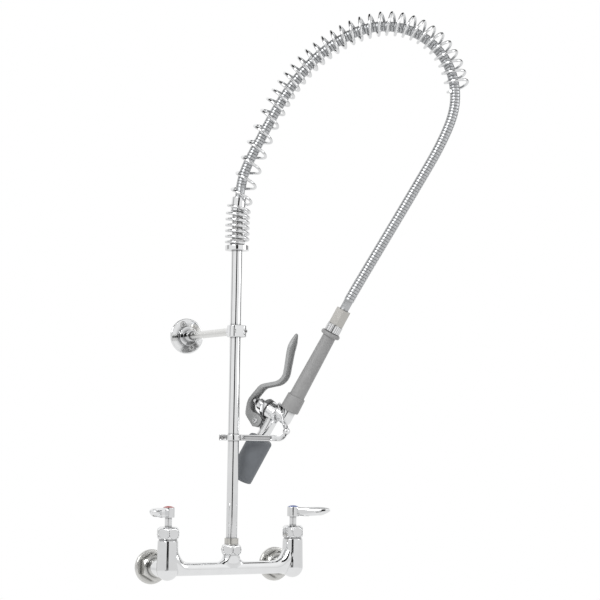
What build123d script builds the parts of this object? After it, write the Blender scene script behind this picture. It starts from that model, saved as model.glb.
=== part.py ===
from build123d import *
import os
from math import cos, pi, radians, sin, sqrt, tan

# Wall-mounted pre-rinse faucet, in millimetres.
# +X runs along the cross bar to the cold side, +Y into the wall, +Z up.
# The origin lies on the wall plane, midway between the two inlets.

# Clearances
running_gap = 0.05
seat_gap = 0.1
free_gap = 0.3

# Cross bar and inlets
inlet_spacing = 203.2
wall_to_bar = 60.0
bar_dia = 19.0
bar_bore = 10.0
inlet_arm_dia = 27.0
inlet_arm_bore = 12.0
inlet_arm_bore_drop = 6.0
flange_plate_dia = 50.8
flange_plate_thick = 5.5
flange_hex_flats = 35.5
flange_hex_long = 13.5
flange_hex_turned = 3.0
pipe_thread_dia = 18.6
pipe_thread_deep = 12.0
inlet_spigot_dia = 22.0
inlet_spigot_long = 3.5
inlet_washer_thick = 1.5
inlet_passage_dia = 14.0

# Upright valve housings
housing_low_dia = 31.4
housing_top_dia = 29.4
housing_height = 41.8
housing_top_round = 1.2
neck_ring_dia = 26.0
neck_ring_tall = 1.7
chamber_dia = 20.0
chamber_floor = 1.0
lower_chamber_dia = 14.0
lower_chamber_deep = 13.8
flare_inset = 0.05
# Flare sections: reach past the housing's side, rise over the bar and half width
flare_sections = [
    (-22, 0, bar_dia / 2 - flare_inset),
    (-16, 0.5, 9.5),
    (-10, 2.3, 9.8),
    (-5, 6.6, 10.4),
    (-1, 13.0, 11.2),
    (2, 19, 12.0),
    (8, 27, 12.8),
]

# Quarter-turn cartridges
seal_thick = 2.0
seal_bore = 12.0
disc_thick = 3.5
disc_dia = 15.6
disc_port_dia = 4.4
cartridge_dia = 19.6
cartridge_top = 34.0
cartridge_window_wide = 6.0
cartridge_window_tall = 5.0
spindle_dia = 10.2
spindle_foot_dia = 15.0
spindle_foot_tall = 3.5
spindle_shown = 13.2
spindle_drive_dia = 8.0
bonnet_corners = 34.4
bonnet_flats = 29.8
bonnet_foot_dia = 27.5
bonnet_top_dia = 24.4
bonnet_tall = 17.8
bonnet_thread_long = 9.0
bonnet_corner_heading = {"hot": 12.9, "cold": 2.0}

# Lever handles
hub_dia = 17.5
hub_tall = 14.5
button_dome = 2.0
button_sunk = 2.2
button_wall = 0.7
handle_reach = 56.0
handle_forward_angle = 40.0
# Paddle sections: share of the reach, half width, half height and lift
blade_sections = [
    (0.08, 4.6, 6.7, 0),
    (0.24, 4.2, 6.6, 0.2),
    (0.42, 5.5, 7.0, 0.2),
    (0.66, 6.8, 6.9, 0.9),
    (0.84, 6.0, 5.4, 2.0),
    (0.95, 4.0, 3.2, 3.0),
    (1.0, 2.0, 1.6, 3.4),
]
blade_round_share = 0.9
blade_hollow_long = 20.0
blade_hollow_wide = 8.0
blade_hollow_deep = 2.5
blade_hollow_reach = 33.6
hub_round = 0.8
handle_screw_dia = 4.0
handle_screw_head_dia = 7.0
handle_screw_head_tall = 2.6
handle_screw_long = 11.0
handle_seat_thick = 1.5

# Centre outlet and riser
boss_dia = 24.0
boss_top = 19.8
# Boss sections: height, half length along the bar and half width across it
boss_sections = [
    (0, 27, bar_dia / 2 - 0.1),
    (7, 22.5, bar_dia / 2),
    (10.4, 18.4, 10.0),
    (12.6, 15.2, 10.8),
    (15.2, 13.2, 11.5),
    (boss_top, boss_dia / 2, boss_dia / 2),
]
outlet_thread_dia = 19.0
outlet_thread_long = 9.2
outlet_bore = 11.0
riser_washer_thick = 2.0
riser_foot_dia = 19.0
riser_foot_tall = 2.0
riser_dia = 16.4
riser_bore = 13.8
riser_top = 473.0
riser_nut_corners = 31.0
riser_nut_flats = 26.9
riser_nut_foot_dia = 24.2
riser_nut_top_dia = 21.0
riser_nut_tall = 15.3
riser_nut_corner_heading = 14.0
riser_sleeve_dia = 20.5
riser_sleeve_tall = 8.7

# Wall bracket
bracket_height = 347.6
bracket_wall_y = 115.0
wall_flange_dia = 55.6
wall_flange_thick = 4.0
wall_hub_dia = 30.0
wall_hub_long = 5.5
wall_socket_dia = 18.0
wall_socket_long = 14.5
bracket_rod_dia = 11.5
wall_screw_circle = 38.4
wall_screw_heading = 113.0
wall_screw_dia = 4.8
wall_screw_neck_dia = 5.4
wall_screw_head_dia = 9.6
wall_screw_out = 25.0
slot_wide = 1.1
slot_deep = 0.8
clamp_tall = 17.8
clamp_front = 11.0
clamp_left = 11.5
clamp_right = 15.6
clamp_back = 10.5
clamp_slit = 1.5
clamp_corner_round = 8.0
clamp_edge_round = 1.4
clamp_screw_x = 12.0
clamp_screw_dia = 3.4
clamp_screw_head_dia = 5.4
clamp_screw_head_tall = 3.0
clamp_screw_sunk = 0.5
clamp_boss_dia = 17.8
clamp_boss_long = 4.5
clamp_dimple_x = -6.5
clamp_dimple_dia = 4.4
clamp_dimple_deep = 0.6
rod_thread_dia = 8.0
rod_thread_long = 5.5

# Finger hook
hook_height = 190.7
hook_tall = 8.8
hook_thick = 7.0
hook_ring_dia = 22.0
hook_heading = -33.5
hook_lug_reach = 21.0
hook_lug_wide = 7.6
hook_slit = 1.2
hook_recess_start = 15.0
hook_recess_end = 57.0
hook_recess_deep = 2.2
hook_recess_tall = 4.6
hook_arm_reach = 64.0
hook_tip_reach = 80.0
hook_tip_rise = 9.0
hook_tip_dia = 10.6
hook_screw_dia = 3.0
hook_screw_head_dia = 4.6
hook_screw_head_tall = 1.8
hook_screw_proud = 0.2
hook_screw_spacing = 4.9

# Overhead spring
collar_dia = 35.5
collar_tall = 7.5
collar_above = 2.0
collar_round = 0.9
spring_wire_dia = 4.2
spring_mean_radius = 16.4
spring_turns_and_pitches = [(5.5, 8.4), (1.0, 11.6), (6.0, 24.6), (1.0, 17.6), (25.5, 14.5)]
spring_first_tip = 0.38
spring_hand = -1
arch_heading = -34.0
spring_axis_points = [
    (0, 477.4),
    (0, 530),
    (16, 590),
    (40, 655),
    (64, 704),
    (96, 746),
    (136, 780),
    (177, 801),
    (215, 810),
    (247, 806),
    (273, 794.5),
    (297, 775),
    (314, 749),
    (328, 700),
]

# Hose
hose_dia = 15.0
hose_root_dia = 13.4
hose_bore = 10.0
hose_rib_pitch = 4.5
liner_dia = 9.6
liner_bore = 6.8
adapter_dia = 16.0
adapter_hex_flats = 20.0
adapter_hex_tall = 9.0
adapter_spigot_long = 16.0
ferrule_dia = 21.5
ferrule_bottom = 526.0
ferrule_tall = 21.0
ferrule_lean = 6.0
hose_start_run = 20.0
hose_arch_points = [
    (10, 589),
    (20.5, 612),
    (44, 658),
    (70, 706),
    (108, 754),
    (150, 786),
    (190, 803.5),
    (231, 805),
    (268, 792.5),
    (298, 767),
    (317.5, 733),
    (323, 684),
    (303, 630),
    (262, 558),
    (222, 489),
    (188.5, 431.5),
]
hose_exit_run = 22.0

# Spray valve: handle foot, lean of the handle and turn of the lever about it
handle_foot = Vector(78.0, -88.8, 234.0)
handle_lean = 29.2
handle_heading = -47.9
lever_turn = -10.0

# Spray valve handle, heights measured along the handle from its foot
handle_tube_dia = 16.0
handle_tube_bore = 11.0
handle_tube_top = 139.2
grip_bottom = 4.0
grip_top = 130.0
grip_top_dia = 20.0
grip_low_dia = 23.0
grip_flange_dia = 29.4
grip_flange_tall = 6.2
lower_sleeve_bottom = -2.0
lower_sleeve_top = 22.0
lower_sleeve_top_dia = 27.4
lower_sleeve_low_dia = 28.8
lower_sleeve_round = 1.8
hose_nut_bottom = 130.4
hose_nut_top = 143.0
hose_nut_dia = 23.4
hose_nut_grooves = 24
hose_washer_thick = 1.8
hose_hex_flats = 21.4
hose_tail_wall = 1.7
hose_hex_top = 168.0

# Spray valve body, along the handle (height) and along the stem (reach)
stem_height = -17.5
neck_dia = 20.8
neck_bottom = -24.0
rear_dia = 22.0
rear_height = -13.5
chamber_reach = 28.3
chamber_start = 11.0
valve_chamber_dia = 27.6
valve_cavity_dia = 18.0
washer_cavity_dia = 10.6
outlet_reach = 18.6
outlet_top_dia = 19.2
outlet_low_dia = 18.4
outlet_waist = -58.0
outlet_hole_dia = 10.0
spray_cup_top = -66.0
spray_cup_shoulder = -84.0
spray_cup_bottom = -119.0
spray_cup_dia = 31.0
spray_cup_wall = 2.0
pivot_reach = 37.5
pivot_height = -41.4
pivot_dia = 4.2
lug_round = 5.6
lug_thick = 12.0

# Stem and bonnet, along the stem
bonnet_gasket_thick = 2.4
bonnet_gasket_dia = 28.2
spray_bonnet_hex_flats = 25.4
spray_bonnet_hex_long = 7.8
spray_bonnet_nose_dia = 17.2
spray_bonnet_nose_end = 49.5
spray_bonnet_thread_long = 6.5
stem_dia = 4.4
stem_inner_end = 5.0
stem_foot_dia = 6.4
stem_foot_thick = 1.5
stem_head_dia = 12.2
stem_head_start = 54.4
stem_head_end = 61.8
stem_head_dome = 3.4
stem_spring_start = 31.0
stem_spring_turns = 4.5
stem_spring_wire = 1.0
stem_spring_pitch = 2.0
stem_spring_radius = 3.9
packing_start = 43.0
packing_long = 3.0
packing_dia = 9.0
seat_washer_thick = 3.0
seat_washer_dia = 9.6
seat_ring_thick = 3.0
seat_ring_dia = 13.0
seat_ring_bore = 7.2

# Squeeze lever, its outer side from the tip round to the pivot, as reach and height
lever_side_points = [
    (51.5, 101),
    (50, 79),
    (31.5, 31.5),
    (60, 8.5),
    (66.5, -22),
    (58.5, -42),
    (37, -51.5),
]
lever_side_radii = [60, 17, 18, 22, 14]
lever_wide = 18.0
lever_skin = 2.8
lever_stations = 72
# Depth of the channel: share of its length from the tip and depth
lever_depths = [(0.0, 2.8), (0.083, 5.6), (1.0, 5.6)]
# Thickest side wall as a share of the half width, and thickest floor as a share of the depth
lever_wall_share = 0.4
lever_floor_share = 0.6
# Lever outline seen along the stem: share of its length from the tip and half width
lever_outline = [
    (0.0, 1.6),
    (0.012, 3.4),
    (0.035, 5.2),
    (0.07, 7.4),
    (0.12, 9.0),
    (0.20, 8.6),
    (0.30, 7.6),
    (0.40, 7.6),
    (0.50, 8.2),
    (0.60, lever_wide / 2),
    (0.80, lever_wide / 2),
    (1.0, lever_wide / 2),
]
cheek_points = [
    (64.6, -19),
    (60.2, -19.5),
    (58.8, -25.5),
    (55, -30.5),
    (49, -32.6),
    (42, -31.8),
    (34, -32.4),
    (28.8, -34.6),
    (27.8, -40),
    (28.8, -45.6),
    (32, -49.2),
    (37, -51),
    (57.8, -41.9),
    (64, -27),
]
pivot_head_dia = 7.2
pivot_head_tall = 2.0

# Hold-down ring
ring_radius = 22.2
ring_wire_dia = 3.4
ring_centre = Vector(72.74, -77.91, 221.33)
ring_heading = -34.1
ring_lean = 16.0

# Bumper and spray face
bumper_dia = 37.0
bumper_wall = 2.8
bumper_top = -60.0
bumper_bottom = -129.0
bumper_hole_gap = 0.4
bumper_round = 4.5
spray_face_thick = 2.5
spray_hole_dia = 2.4
spray_hole_rings = [(6, 5.6), (12, 9.6), (16, 12.9)]
face_screw_dia = 4.0
face_screw_head_dia = 7.0

# Places worked out from the sizes above
side_sign = {"hot": -1, "cold": 1}
housing_top = housing_height + neck_ring_tall
hex_front = flange_plate_thick + flange_hex_long
seal_top = chamber_floor + seal_thick
fixed_disc_top = seal_top + disc_thick
moving_disc_top = fixed_disc_top + running_gap + disc_thick
spindle_foot_top = moving_disc_top + spindle_foot_tall
bonnet_top = housing_top + bonnet_tall
hub_bottom = bonnet_top + spindle_shown
hub_top = hub_bottom + hub_tall
button_bottom = hub_top - button_sunk
screw_head_bottom = button_bottom - handle_screw_head_tall
screw_bottom = button_bottom - handle_screw_long
drive_top = screw_head_bottom - handle_seat_thick
outlet_thread_top = boss_top + outlet_thread_long
riser_washer_top = outlet_thread_top + riser_washer_thick
riser_foot_top = riser_washer_top + riser_foot_tall
riser_nut_top = boss_top + riser_nut_tall
collar_top = riser_top + collar_above
collar_bottom = collar_top - collar_tall
gasket_end = chamber_reach + bonnet_gasket_thick
spray_hex_end = gasket_end + spray_bonnet_hex_long
pack_end = packing_start + packing_long
stem_foot_end = stem_inner_end + stem_foot_thick
washer_end = stem_foot_end + seat_washer_thick
hose_washer_top = handle_tube_top + hose_washer_thick
hose_tail_dia = liner_dia + 2 * hose_tail_wall
bar_line = Pos(0, -wall_to_bar, 0)


def turned(*outline):
    """Solid turned about Z from an outline of (radius, height) points."""
    return revolve(Plane.XZ * make_face(Polyline(*outline, close=True)), Axis.Z)


def rod(diameter, bottom, top):
    """Round rod along Z."""
    return Pos(0, 0, (bottom + top) / 2) * Cylinder(diameter / 2, top - bottom)


def tube(diameter, bore, bottom, top):
    """Round tube along Z."""
    return rod(diameter, bottom, top) - rod(bore, bottom, top)


def domed_rod(diameter, bottom, shoulder, dome):
    """Round rod along Z with a dome above its shoulder."""
    radius = diameter / 2
    ball_radius = (radius ** 2 + dome ** 2) / (2 * dome)
    ball = Pos(0, 0, shoulder + dome - ball_radius) * Sphere(ball_radius)
    cap = rod(diameter, shoulder, shoulder + dome) & ball
    return rod(diameter, bottom, shoulder) + cap


def hex_bar(flats, bottom, top, corner_heading=0.0):
    """Hexagonal bar along Z with one corner at the heading."""
    outline = RegularPolygon(flats / 2, 6, major_radius=False)
    bar = extrude(outline, top - bottom)
    return Pos(0, 0, bottom) * Rot(0, 0, corner_heading) * bar


def barrel(foot_dia, middle_dia, top_dia, bottom, top):
    """Round body with bulging sides, turned about Z."""
    middle = (bottom + top) / 2
    foot_edge = (foot_dia / 2, bottom)
    top_edge = (top_dia / 2, top)
    sides = [
        Line((0, bottom), foot_edge),
        ThreePointArc(foot_edge, (middle_dia / 2, middle), top_edge),
        Line(top_edge, (0, top)),
        Line((0, top), (0, bottom)),
    ]
    return revolve(Plane.XZ * make_face(sides), Axis.Z)


def along_y(shape):
    """Turn a shape built along Z so that its top points to -Y."""
    return Rot(90, 0, 0) * shape


def along_x(shape):
    """Turn a shape built along Z so that its top points to +X."""
    return Rot(0, 90, 0) * shape


def valve_axis(side):
    """Place of one housing's axis, at the height of the bar."""
    return Pos(side_sign[side] * inlet_spacing / 2, -wall_to_bar, 0)


def write_node(name, *solids):
    """Write one node's solids to its file."""
    pieces = [solid for shape in solids for solid in shape.solids()]
    whole = pieces[0] if len(pieces) == 1 else Compound(children=pieces)
    export_step(whole, f"parts/{name}.step")


# Faucet body
def bar_flare(side):
    """Concave top flare that leads the bar into a housing."""
    half_tall = bar_dia / 2 - flare_inset
    housing_side = (inlet_spacing - housing_low_dia) / 2
    sections = []
    for reach, rise, half_wide in flare_sections:
        centre = (side_sign[side] * (housing_side + reach), -wall_to_bar, rise / 2)
        place = Plane(origin=centre, x_dir=(0, 1, 0), z_dir=(1, 0, 0))
        sections.append(place * Ellipse(half_wide, half_tall + rise / 2))
    return loft(sections)


def housing(side):
    """One upright valve housing with its inlet arm, before boring."""
    low = housing_low_dia / 2
    top = housing_top_dia / 2
    shell = turned((0, 0), (low, 0), (top, housing_height), (0, housing_height))
    rim = shell.edges().filter_by(GeomType.CIRCLE).sort_by(Axis.Z)[-1]
    shell = fillet(rim, housing_top_round)
    shell += Sphere(low) & Pos(0, 0, -low) * Box(2 * low, 2 * low, 2 * low)
    shell += rod(neck_ring_dia, housing_height, housing_top)
    arm = along_y(rod(inlet_arm_dia, -(wall_to_bar - hex_front), 0))
    spigot_end = hex_front - inlet_spigot_long
    arm += along_y(rod(inlet_spigot_dia, -(wall_to_bar - spigot_end), 0))
    return valve_axis(side) * (shell + arm)


def housing_bores(side):
    """Cartridge chamber, the chamber under its seat, and the inlet arm's bore."""
    bores = rod(chamber_dia, chamber_floor, housing_top)
    floor = chamber_floor - lower_chamber_deep
    bores += rod(lower_chamber_dia, floor, chamber_floor)
    arm_bore = along_y(rod(inlet_arm_bore, -wall_to_bar, 0))
    bores += Pos(0, 0, -inlet_arm_bore_drop) * arm_bore
    return valve_axis(side) * bores


def outlet_boss():
    """Centre boss that grows out of the bar, with the thread for the riser nut."""
    sections = [Pos(0, 0, height) * Ellipse(along, across) for height, along, across in boss_sections]
    return bar_line * (loft(sections) + rod(outlet_thread_dia, boss_top - 1, outlet_thread_top))


def make_faucet_body():
    """Cross bar, two housings with inlet arms, and the centre boss, as one casting."""
    reach = inlet_spacing / 2
    body = bar_line * along_x(rod(bar_dia, -reach, reach))
    body += outlet_boss()
    for side in side_sign:
        body += housing(side)
        body += bar_flare(side)
    bore_reach = reach - chamber_dia / 2 + 1.0
    body -= bar_line * along_x(rod(bar_bore, -bore_reach, bore_reach))
    body -= bar_line * rod(outlet_bore, 0, outlet_thread_top)
    for side in side_sign:
        body -= housing_bores(side)
    return body


# Inlet flanges and washers
def make_inlet_flange(side):
    """Wall plate and hexagon in one, threaded for the supply pipe behind."""
    hex_part = hex_bar(flange_hex_flats, flange_plate_thick, hex_front, 90)
    corner = flange_hex_flats / sqrt(3)
    hex_part &= turned(
        (0, flange_plate_thick),
        (corner, flange_plate_thick),
        (corner, hex_front - flange_hex_turned),
        (flange_hex_flats / 2, hex_front),
        (0, hex_front),
    )
    plate = rod(flange_plate_dia, 0, flange_plate_thick)
    rim = plate.edges().filter_by(GeomType.CIRCLE).sort_by(Axis.Z)[-1]
    flange = fillet(rim, flange_plate_thick * 0.4) + hex_part
    spigot_room = inlet_spigot_long + inlet_washer_thick
    flange -= rod(pipe_thread_dia, 0, pipe_thread_deep)
    flange -= rod(inlet_passage_dia, 0, hex_front)
    flange -= rod(inlet_spigot_dia + 2 * seat_gap, hex_front - spigot_room, hex_front)
    return Pos(side_sign[side] * inlet_spacing / 2, 0, 0) * along_y(flange)


def make_inlet_washer(side):
    """Flat washer between the flange and the end of the inlet arm."""
    seat = hex_front - inlet_spigot_long - inlet_washer_thick
    washer = tube(inlet_spigot_dia, inlet_passage_dia + 1, seat, seat + inlet_washer_thick)
    return Pos(side_sign[side] * inlet_spacing / 2, 0, 0) * along_y(washer)


# Valve cartridges
def disc_ports(bottom, top):
    """Two round ports opposite each other."""
    port = Pos(disc_dia / 4, 0, 0) * rod(disc_port_dia, bottom, top)
    return port + Rot(0, 0, 180) * port


def make_seat_seal(side):
    return valve_axis(side) * tube(cartridge_dia, seal_bore, chamber_floor, seal_top)


def make_fixed_disc(side):
    disc = rod(disc_dia, seal_top, fixed_disc_top) - disc_ports(seal_top, fixed_disc_top)
    return valve_axis(side) * disc


def make_moving_disc(side):
    bottom = fixed_disc_top + running_gap
    disc = rod(disc_dia, bottom, moving_disc_top)
    disc -= Rot(0, 0, 90) * disc_ports(bottom, moving_disc_top)
    return valve_axis(side) * disc


def make_cartridge(side):
    """Brass sleeve round the discs, open at its sides for the water to leave."""
    room = max(spindle_foot_dia, disc_dia) + 2 * free_gap
    sleeve = rod(cartridge_dia, seal_top, cartridge_top)
    sleeve -= rod(room, seal_top, spindle_foot_top + cartridge_window_tall + 1)
    sleeve -= rod(spindle_dia + 2 * free_gap, seal_top, cartridge_top)
    window = Box(chamber_dia * 2, cartridge_window_wide, cartridge_window_tall)
    sleeve -= Pos(0, 0, spindle_foot_top + cartridge_window_tall / 2) * window
    return valve_axis(side) * sleeve


def make_spindle(side):
    """Spindle with its driving foot, and the drive end that the handle sits on."""
    spindle = rod(spindle_foot_dia, moving_disc_top, spindle_foot_top)
    spindle += rod(spindle_dia, spindle_foot_top, hub_bottom)
    drive = extrude(RegularPolygon(spindle_drive_dia / 2, 12), drive_top - hub_bottom)
    spindle += Pos(0, 0, hub_bottom) * drive
    spindle -= rod(handle_screw_dia, screw_bottom - 1, drive_top)
    return valve_axis(side) * spindle


def make_bonnet(side):
    """Domed hexagonal bonnet that screws into the housing over the cartridge."""
    bonnet = hex_bar(bonnet_flats, housing_top, bonnet_top, bonnet_corner_heading[side])
    bonnet &= barrel(bonnet_foot_dia, bonnet_corners, bonnet_top_dia, housing_top, bonnet_top)
    bonnet += rod(chamber_dia - 2 * seat_gap, housing_top - bonnet_thread_long, housing_top)
    bonnet -= rod(spindle_dia + 2 * running_gap, 0, bonnet_top)
    return valve_axis(side) * bonnet


# Lever handles
def closed_heading(side):
    """Heading of a closed handle: outward, turned forward."""
    return -handle_forward_angle if side == "cold" else 180 + handle_forward_angle


def lever_blade():
    """Paddle along +X, as tall as the hub, that widens and then lifts to a round tip."""
    middle = hub_bottom + hub_tall / 2
    sections = []
    for share, half_wide, half_tall, lift in blade_sections:
        centre = (handle_reach * share, 0, middle + lift)
        place = Plane(origin=centre, x_dir=(0, 1, 0), z_dir=(1, 0, 0))
        corner = blade_round_share * min(half_wide, half_tall)
        sections.append(place * RectangleRounded(2 * half_wide, 2 * half_tall, corner))
    return loft(sections)


def make_handle(side):
    """Hub and paddle in one casting, hollowed under the paddle."""
    hub = rod(hub_dia, hub_bottom, hub_top)
    hub = fillet(hub.edges().filter_by(GeomType.CIRCLE), hub_round)
    hub += lever_blade()
    hollow = Box(blade_hollow_long, blade_hollow_wide, 2 * blade_hollow_deep)
    hollow = fillet(hollow.edges().filter_by(Axis.Z), blade_hollow_wide * 0.4)
    hub -= Pos(blade_hollow_reach, 0, hub_bottom) * hollow
    hub -= rod(spindle_drive_dia + 2 * seat_gap, hub_bottom, drive_top)
    hub -= rod(handle_screw_dia + 2 * free_gap, hub_bottom, hub_top)
    hub -= rod(handle_screw_head_dia + 2 * free_gap, screw_head_bottom, hub_top)
    hub -= rod(hub_dia - 2 * button_wall, button_bottom, hub_top)
    return valve_axis(side) * Rot(0, 0, closed_heading(side)) * hub


def make_handle_screw(side):
    """Cross-head screw that holds the handle down on the spindle."""
    screw = rod(handle_screw_head_dia, screw_head_bottom, button_bottom - seat_gap)
    screw += rod(handle_screw_dia - 2 * running_gap, screw_bottom, screw_head_bottom)
    return valve_axis(side) * screw


def make_index_button(side):
    """Domed coloured button snapped into the top of the hub."""
    diameter = hub_dia - 2 * button_wall - 2 * seat_gap
    return valve_axis(side) * domed_rod(diameter, button_bottom, hub_top, button_dome)


# Riser
def make_riser_nut():
    """Domed nut that holds the riser's foot down on the outlet thread."""
    nut = hex_bar(riser_nut_flats, boss_top, riser_nut_top, riser_nut_corner_heading)
    nut &= barrel(riser_nut_foot_dia, riser_nut_corners, riser_nut_top_dia, boss_top, riser_nut_top)
    nut -= rod(outlet_thread_dia + 2 * seat_gap, boss_top, riser_foot_top)
    nut -= rod(riser_dia + 2 * free_gap, boss_top, riser_nut_top)
    return bar_line * nut


def make_riser_washer():
    washer = tube(riser_foot_dia, outlet_bore, outlet_thread_top, riser_washer_top)
    return bar_line * washer


def make_riser_tube():
    """Polished tube with a turned foot under the nut."""
    riser = rod(riser_foot_dia, riser_washer_top, riser_foot_top)
    riser += rod(riser_dia, riser_washer_top, riser_top)
    riser -= rod(riser_bore, riser_washer_top, riser_top)
    return bar_line * riser


def make_riser_sleeve():
    """Short collar that sits on the riser nut."""
    top = riser_nut_top + riser_sleeve_tall
    return bar_line * tube(riser_sleeve_dia, riser_dia + 2 * seat_gap, riser_nut_top, top)


# Wall bracket
def wall_screw_spots():
    """Places of the two wall screws round the rod's axis, at the wall plane."""
    spots = []
    for turn in (0, 180):
        angle = radians(wall_screw_heading + turn)
        x = wall_screw_circle / 2 * cos(angle)
        z = bracket_height + wall_screw_circle / 2 * sin(angle)
        spots.append(Pos(x, bracket_wall_y, z))
    return spots


def make_wall_flange():
    """Round plate with a two-step hub, bored blind for the rod."""
    hub_end = wall_flange_thick + wall_hub_long
    socket_end = hub_end + wall_socket_long
    plate = rod(wall_flange_dia, 0, wall_flange_thick)
    rim = plate.edges().filter_by(GeomType.CIRCLE).sort_by(Axis.Z)[-1]
    flange = fillet(rim, 2.2)
    flange += rod(wall_hub_dia, 0, hub_end) + rod(wall_socket_dia, 0, socket_end)
    flange -= rod(bracket_rod_dia + 2 * running_gap, wall_flange_thick / 2, socket_end)
    flange = Pos(0, bracket_wall_y, bracket_height) * along_y(flange)
    for spot in wall_screw_spots():
        flange -= spot * along_y(wall_screw(seat_gap))
    return flange


def wall_screw(extra=0.0):
    """Countersunk screw through the plate, its threaded shank out behind the wall plane."""
    head = wall_screw_head_dia / 2 + extra
    neck = wall_screw_neck_dia / 2 + extra
    shank = wall_screw_dia / 2 + extra
    face = wall_flange_thick - 0.3
    cone = face - (head - neck)
    top = wall_flange_thick + extra
    out = -wall_screw_out
    return turned(
        (0, out),
        (shank, out),
        (shank, 0),
        (neck, 0),
        (neck, cone),
        (head, face),
        (head, top),
        (0, top),
    )


def cross_slot(long):
    """Cross that is cut into a screw head."""
    return Box(long, slot_wide, 2 * slot_deep) + Box(slot_wide, long, 2 * slot_deep)


def make_wall_screws():
    """Two cross-head screws, with the cross cut into each head."""
    screws = []
    for spot in wall_screw_spots():
        cross = cross_slot(wall_screw_head_dia * 0.55)
        screw = wall_screw() - Pos(0, 0, wall_flange_thick) * cross
        screws.append(spot * along_y(screw))
    return screws


def make_bracket_rod():
    """Round rod from the wall flange to the clamp, with a threaded end."""
    front = -wall_to_bar + clamp_back + clamp_boss_long
    back = bracket_wall_y - wall_flange_thick / 2 - seat_gap
    rod_part = along_y(rod(bracket_rod_dia, -back, -front))
    rod_part += along_y(rod(rod_thread_dia, -front, -(front - rod_thread_long)))
    return Pos(0, 0, bracket_height) * rod_part


def clamp_block():
    """Rounded block of the clamp, before boring."""
    block = Box(clamp_left + clamp_right, clamp_front + clamp_back, clamp_tall)
    block = fillet(block.edges().filter_by(Axis.Z), clamp_corner_round)
    levels = block.edges().group_by(Axis.Z)
    block = fillet(levels[0] + levels[-1], clamp_edge_round)
    return Pos((clamp_right - clamp_left) / 2, (clamp_back - clamp_front) / 2, 0) * block


def make_bracket_clamp():
    """Split block clamped on the riser, its rear boss threaded for the rod."""
    block = clamp_block()
    boss_end = clamp_back + clamp_boss_long
    block += along_y(rod(clamp_boss_dia, -boss_end, -clamp_back + 3))
    block -= rod(riser_dia + 2 * running_gap, -clamp_tall, clamp_tall)
    block -= Pos(clamp_right, 0, 0) * Box(2 * clamp_right, clamp_slit, clamp_tall * 1.2)
    thread_end = -boss_end + rod_thread_long + free_gap
    block -= along_y(rod(rod_thread_dia + 2 * running_gap, -boss_end, thread_end))
    head_seat = clamp_front - clamp_screw_sunk - clamp_screw_head_tall
    screw_room = rod(clamp_screw_dia + 2 * seat_gap, -2 * clamp_back, 2 * clamp_front)
    screw_room += rod(clamp_screw_head_dia + 2 * seat_gap, head_seat, 2 * clamp_front)
    block -= Pos(clamp_screw_x, 0, 0) * along_y(screw_room)
    dimple = rod(clamp_dimple_dia, clamp_front - clamp_dimple_deep, 2 * clamp_front)
    block -= Pos(clamp_dimple_x, 0, 0) * along_y(dimple)
    return Pos(0, -wall_to_bar, bracket_height) * block


def socket_screw(diameter, head_diameter, head_tall, long):
    """Cap screw along Z, head up, its top at zero, with a hexagonal socket."""
    screw = rod(diameter, -long, -head_tall) + rod(head_diameter, -head_tall, 0)
    return screw - hex_bar(head_diameter * 0.5, -head_tall * 0.6, 1)


def make_bracket_clamp_screw():
    head = clamp_screw_head_tall
    screw = socket_screw(clamp_screw_dia, clamp_screw_head_dia, head, clamp_front + clamp_back - head)
    front = -wall_to_bar - clamp_front + clamp_screw_sunk
    return Pos(clamp_screw_x, front, bracket_height) * along_y(screw)


# Finger hook
def hook_arm():
    """Arm along +X with recessed sides, its end swept up to a round tip."""
    half = hook_tall / 2
    sweep_mid = (hook_arm_reach + hook_tip_reach) / 2
    root = hook_ring_dia / 4
    low_bend = (hook_arm_reach, -half)
    low_middle = (sweep_mid + 2.4, -half + hook_tip_rise * 0.3)
    low_end = (hook_tip_reach, hook_tip_rise)
    high_end = (hook_tip_reach - 5.5, hook_tip_rise + 2.6)
    high_middle = (sweep_mid - 1.6, half + 1.6)
    high_bend = (hook_arm_reach - 4, half)
    outline = [
        Line((root, -half), low_bend),
        ThreePointArc(low_bend, low_middle, low_end),
        Line(low_end, high_end),
        ThreePointArc(high_end, high_middle, high_bend),
        Line(high_bend, (root, half)),
        Line((root, half), (root, -half)),
    ]
    arm = extrude(Plane.XZ * make_face(outline), hook_thick / 2, both=True)
    recess_long = hook_recess_end - hook_recess_start
    recess = extrude(SlotOverall(recess_long, hook_recess_tall), hook_recess_deep)
    recess_middle = (hook_recess_start + hook_recess_end) / 2
    side_recess = Pos(recess_middle, -hook_thick / 2, 0) * Rot(-90, 0, 0) * recess
    arm -= side_recess
    arm -= Rot(180, 0, 0) * side_recess
    tip = Pos(hook_tip_reach - 1.5, 0, hook_tip_rise + 1.4) * Sphere(hook_tip_dia / 2)
    return arm + tip


def hook_screw_spots():
    """Places of the two lug screws behind the hook's ring."""
    inner = hook_ring_dia / 2 + hook_screw_head_dia / 2 + free_gap
    return [Pos(-inner - turn * hook_screw_spacing, 0, 0) for turn in (0, 1)]


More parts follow.
